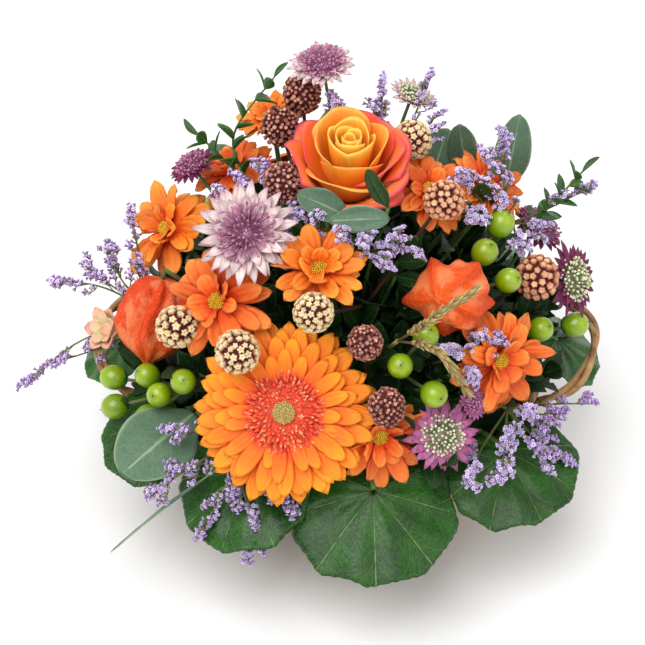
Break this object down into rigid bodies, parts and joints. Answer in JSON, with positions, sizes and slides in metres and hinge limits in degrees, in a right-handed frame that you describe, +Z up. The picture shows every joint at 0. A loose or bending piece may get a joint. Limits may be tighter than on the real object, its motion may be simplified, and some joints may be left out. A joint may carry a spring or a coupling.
{
  "type": "flower basket arrangement",
  "caption": "Round willow basket with two twisted rope handles, filled with a domed autumn arrangement of blooms, berries, seed heads and leaves.",
  "frame": {"origin": "middle of the basket's flat underside", "axes": "+Z up; -Y is the front, with the gerbera and the big leaf; X runs across from handle to handle"},
  "size_m": [0.3074, 0.2931, 0.2355],
  "materials": {
    "willow": "peeled willow, dry and matt, with a dark groove along each strand",
    "liner_film": "dark waterproof film, satin",
    "floral_foam": "wet floral foam, open-celled and matt",
    "collar_leaf": "living leaf, glossy upper face with pale veins",
    "gum_leaf": "waxy grey-green leaf, matt with a pale rim",
    "green_stem": "fresh green stems and small leaves, satin",
    "gerbera_ray": "velvety ray petals, orange, redder towards the eye",
    "gerbera_eye": "coral disc florets with pale specks and an olive centre",
    "rose_petal": "soft amber rose petals with crimson edges",
    "lantern": "thin papery husk, orange-red, ribbed",
    "mum_petal": "soft orange petals with a yellow-green centre",
    "masterwort": "papery bracts, mauve-pink with green tips and fine veins",
    "button_head": "dry beige knobs with burgundy gaps, matt",
    "cone_head": "dry brown seed heads, matt",
    "berry": "glossy lime-green berries with a small dark tip",
    "pale_bud": "pale peach and green lobes, satin",
    "statice": "papery lilac florets on olive stems",
    "seed_grass": "dry straw-coloured grass with seeds"
  },
  "bodies": {
    "root": {"basket_weave": "willow", "liner": "liner_film", "floral_foam": "floral_foam", "handle_left": "willow", "handle_right": "willow", "berries_back": "berry", "berries_centre": "berry", "berries_left": "berry", "berries_right": "berry", "berries_upper_right": "berry", "button_heads_back": "button_head", "button_heads_centre": "button_head", "button_heads_left": "button_head", "button_heads_right": "button_head", "collar_leaf_back": "collar_leaf", "collar_leaf_back_left": "collar_leaf", "collar_leaf_back_right": "collar_leaf", "collar_leaf_far_left": "collar_leaf", "collar_leaf_far_right": "collar_leaf", "collar_leaf_front": "collar_leaf", "collar_leaf_front_left": "collar_leaf", "collar_leaf_left": "collar_leaf", "collar_leaf_right": "collar_leaf", "cone_heads_front": "cone_head", "cone_heads_top": "cone_head", "gerbera_eye": "gerbera_eye", "gerbera_rays": "gerbera_ray", "gerbera_stem": "green_stem", "gum_leaf_front_left": "gum_leaf", "gum_leaves_back": "gum_leaf", "gum_leaves_top_right": "gum_leaf", "lantern_left": "lantern", "lantern_right": "lantern", "leafy_sprig_left": "green_stem", "leafy_sprig_right": "green_stem", "masterwort_front": "masterwort", "masterwort_left": "masterwort", "masterwort_right": "masterwort", "masterwort_top": "masterwort", "mum_centre": "mum_petal", "mum_front_petals": "mum_petal", "mum_left_petals": "mum_petal", "mum_right_petals": "mum_petal", "mum_spray_back": "mum_petal", "mum_spray_top_left": "mum_petal", "mum_spray_top_right": "mum_petal", "mum_stem_left": "green_stem", "mum_stem_right": "green_stem", "mum_upper_left_petals": "mum_petal", "pale_bud": "pale_bud", "rose_petals": "rose_petal", "rose_stem": "green_stem", "seed_grass": "seed_grass", "statice_back": "statice", "statice_crown": "statice", "statice_front_left": "statice", "statice_left": "statice", "statice_right": "statice", "statice_top": "statice", "statice_upper_right": "statice"}
  },
  "joints": []
}
